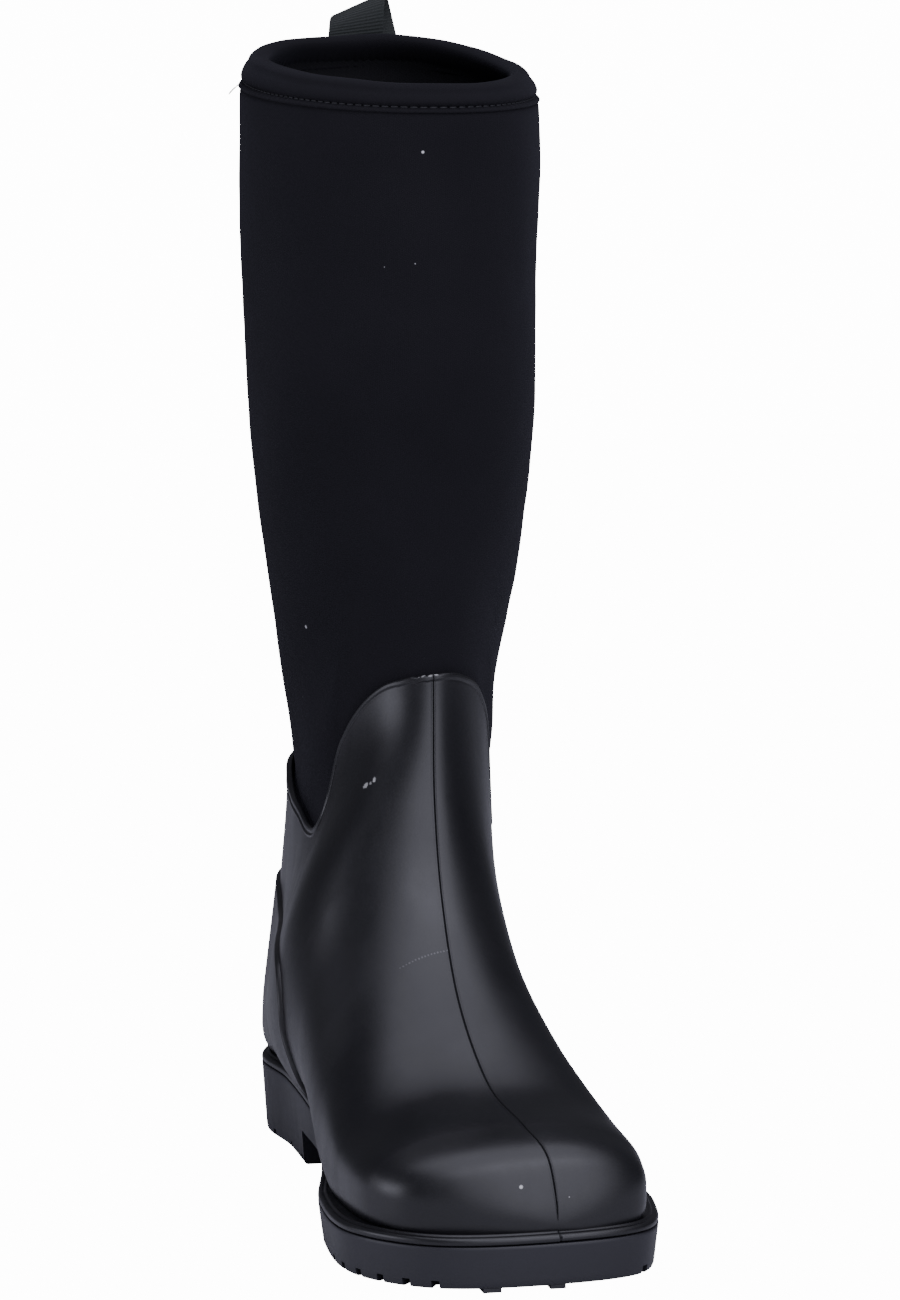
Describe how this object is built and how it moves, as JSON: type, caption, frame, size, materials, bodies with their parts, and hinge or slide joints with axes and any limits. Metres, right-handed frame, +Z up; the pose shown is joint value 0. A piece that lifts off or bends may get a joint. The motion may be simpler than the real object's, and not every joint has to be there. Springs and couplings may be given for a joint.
{
  "type": "riding stable boot",
  "caption": "Tall pull-on stable boot for the right foot: moulded rubber foot on a treaded sole, neoprene leg, rolled collar and a back pull loop.",
  "frame": {"origin": "on the ground plane, under the middle of the boot's box", "axes": "+Z up the leg, toe towards -Y, inner side of the foot towards +X"},
  "size_m": [0.1073, 0.2923, 0.4057],
  "materials": {
    "sole_rubber": "matt moulded black rubber",
    "filler_foam": "closed-cell foam",
    "midsole_foam": "closed-cell foam",
    "shank_steel": "plain rolled steel strip",
    "insole_fibreboard": "pressed cellulose board",
    "shell_rubber": "satin moulded black rubber",
    "guard_rubber": "satin moulded black rubber",
    "toe_thermoplastic": "formed thermoplastic sheet",
    "heel_thermoplastic": "formed thermoplastic sheet",
    "sock_neoprene": "jersey-faced neoprene foam",
    "leg_neoprene": "jersey-faced neoprene foam, matt",
    "lining_jersey": "brushed jersey",
    "seam_tape": "flat woven tape",
    "binding_jersey": "stretch jersey, soft",
    "collar_thread": "polyester thread",
    "loop_webbing": "ribbed polyester webbing",
    "loop_thread": "polyester thread",
    "footbed_foam": "moulded foam",
    "footbed_fabric": "knitted cover"
  },
  "bodies": {
    "boot": {"outsole": "sole_rubber", "heel_filler": "filler_foam", "midsole": "midsole_foam", "shank": "shank_steel", "insole_board": "insole_fibreboard", "rubber_shell": "shell_rubber", "heel_guard": "guard_rubber", "toe_stiffener": "toe_thermoplastic", "heel_stiffener": "heel_thermoplastic", "foot_sock": "sock_neoprene", "neoprene_leg": "leg_neoprene", "leg_lining": "lining_jersey", "back_seam_tape": "seam_tape", "collar_binding": "binding_jersey", "collar_stitch_thread": "collar_thread", "pull_loop_anchor": "loop_webbing", "pull_loop_stitches": "loop_thread"},
    "loop": {"pull_loop": "loop_webbing"},
    "insole": {"footbed": "footbed_foam", "footbed_cover": "footbed_fabric"}
  },
  "joints": [
    {"name": "pull_loop_flop", "type": "hinge", "parent": "boot", "child": "loop", "pos_m": [0.0047, 0.1313, 0.3843], "axis": [-1, 0, 0], "range_deg": [0, 35], "stiffness_Nm_per_rad": 0.004},
    {"name": "footbed_lift", "type": "hinge", "parent": "boot", "child": "insole", "pos_m": [-0.002, -0.1145, 0.023], "axis": [1, 0, 0], "range_deg": [0, 8]}
  ]
}
